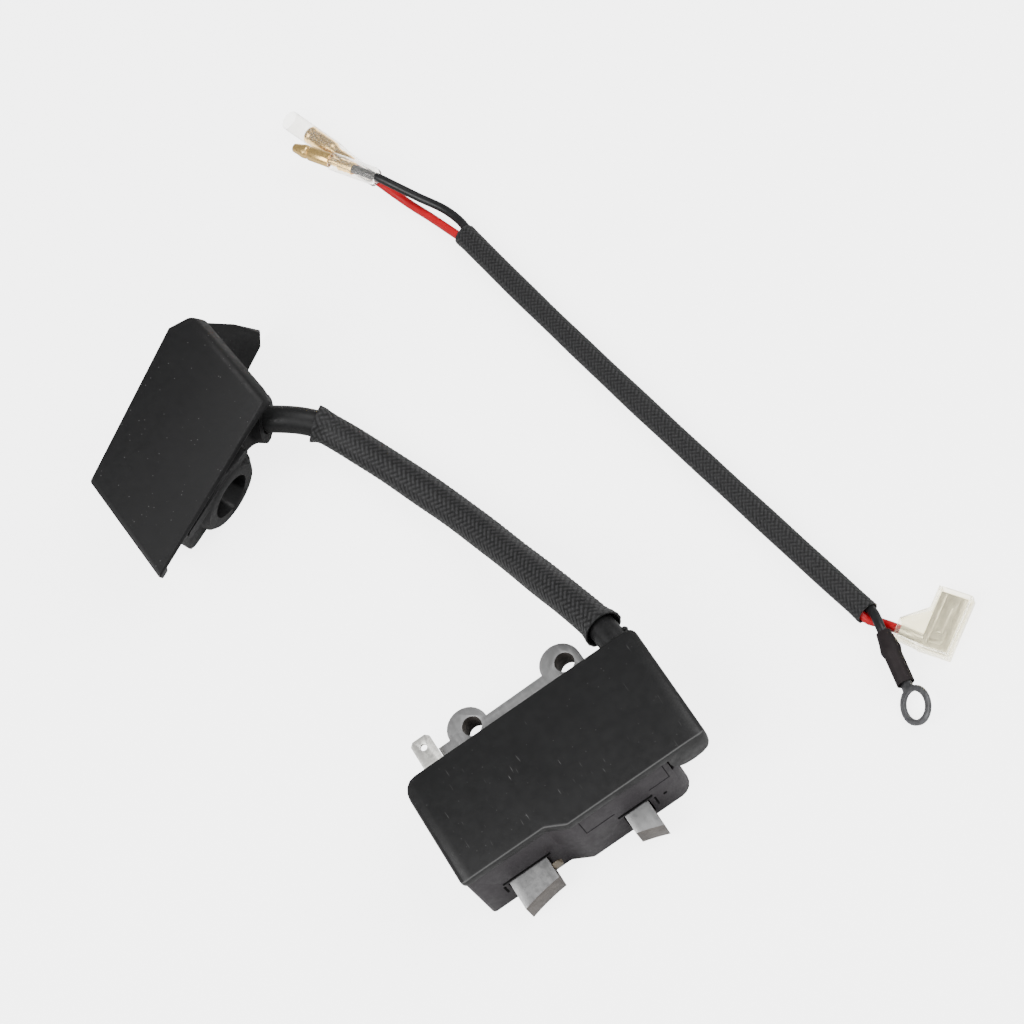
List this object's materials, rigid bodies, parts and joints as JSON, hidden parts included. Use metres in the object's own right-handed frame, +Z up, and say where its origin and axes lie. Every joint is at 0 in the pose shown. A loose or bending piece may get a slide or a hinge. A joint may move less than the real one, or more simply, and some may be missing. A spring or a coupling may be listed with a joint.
{
  "type": "ignition coil",
  "caption": "Ignition coil on a laminated core with two pole legs, a braided plug lead ending in a covered boot, and a loose two-wire stop lead with bullet, ring and flag terminals.",
  "frame": {"origin": "midway between the two screw holes of the core, on the core's underside", "axes": "+X from the left screw hole to the right one, +Y away from the pole tips towards the plug lead, +Z up out of the housing's top"},
  "size_m": [0.1563, 0.2467, 0.0326],
  "materials": {
    "core_steel": "satin",
    "black_plastic": "satin",
    "grey_plastic": "satin",
    "tinned_brass": "satin",
    "nylon": "matte",
    "copper_wire": "satin",
    "potting_resin": "gloss",
    "brass": "satin",
    "board": "satin",
    "capacitor": "matte",
    "black_rubber": "matte",
    "braid": "matte",
    "spring_steel": "satin",
    "red_insulation": "satin",
    "clear_vinyl": "clear"
  },
  "bodies": {
    "root": {"core_stack": "core_steel", "core_rivet_1": "core_steel", "core_rivet_2": "core_steel", "core_rivet_3": "core_steel", "housing_top": "black_plastic", "housing_body": "grey_plastic", "spade_tab": "tinned_brass", "charge_bobbin": "nylon", "charge_winding": "copper_wire", "trigger_bobbin": "nylon", "trigger_winding": "copper_wire", "transformer_rod": "core_steel", "primary_bobbin": "nylon", "primary_winding": "copper_wire", "secondary_bobbin": "nylon", "secondary_winding": "copper_wire", "potting_block": "potting_resin", "high_tension_pin": "brass", "circuit_board": "board", "charge_capacitor": "capacitor", "charge_diode": "black_plastic", "clamp_diode": "black_plastic", "gate_resistor": "nylon", "thyristor": "black_plastic", "ht_lead": "black_rubber", "lead_braid": "braid"},
    "plug_cap": {"plug_cover": "black_plastic", "plug_boot": "black_rubber", "terminal_spring": "spring_steel", "terminal_contact": "brass"},
    "stop_lead": {"harness_braid": "braid", "black_wire": "black_rubber", "red_wire": "red_insulation", "male_bullet": "brass", "female_bullet": "brass", "ring_terminal": "tinned_brass", "ring_heat_shrink": "black_rubber", "flag_terminal": "tinned_brass", "flag_insulator": "clear_vinyl"},
    "male_sleeve": {"male_bullet_sleeve": "clear_vinyl"},
    "female_sleeve": {"female_bullet_sleeve": "clear_vinyl"}
  },
  "joints": [
    {"name": "plug_cap_swing", "type": "hinge", "parent": "root", "child": "plug_cap", "pos_m": [0.01, 0.057, 0.002], "axis": [0, 0, 1], "range_deg": [-22, 22], "deforming": ["ht_lead", "lead_braid"]},
    {"name": "stop_lead_lift", "type": "slide", "parent": "root", "child": "stop_lead", "axis": [0, 0, 1], "range_m": [0, 0.05]},
    {"name": "male_sleeve_slide", "type": "slide", "parent": "stop_lead", "child": "male_sleeve", "axis": [-0.486, 0.874, 0], "range_m": [0, 0.005]},
    {"name": "female_sleeve_slide", "type": "slide", "parent": "stop_lead", "child": "female_sleeve", "axis": [0.2759, -0.9612, -0.0058], "range_m": [0, 0.006]}
  ]
}
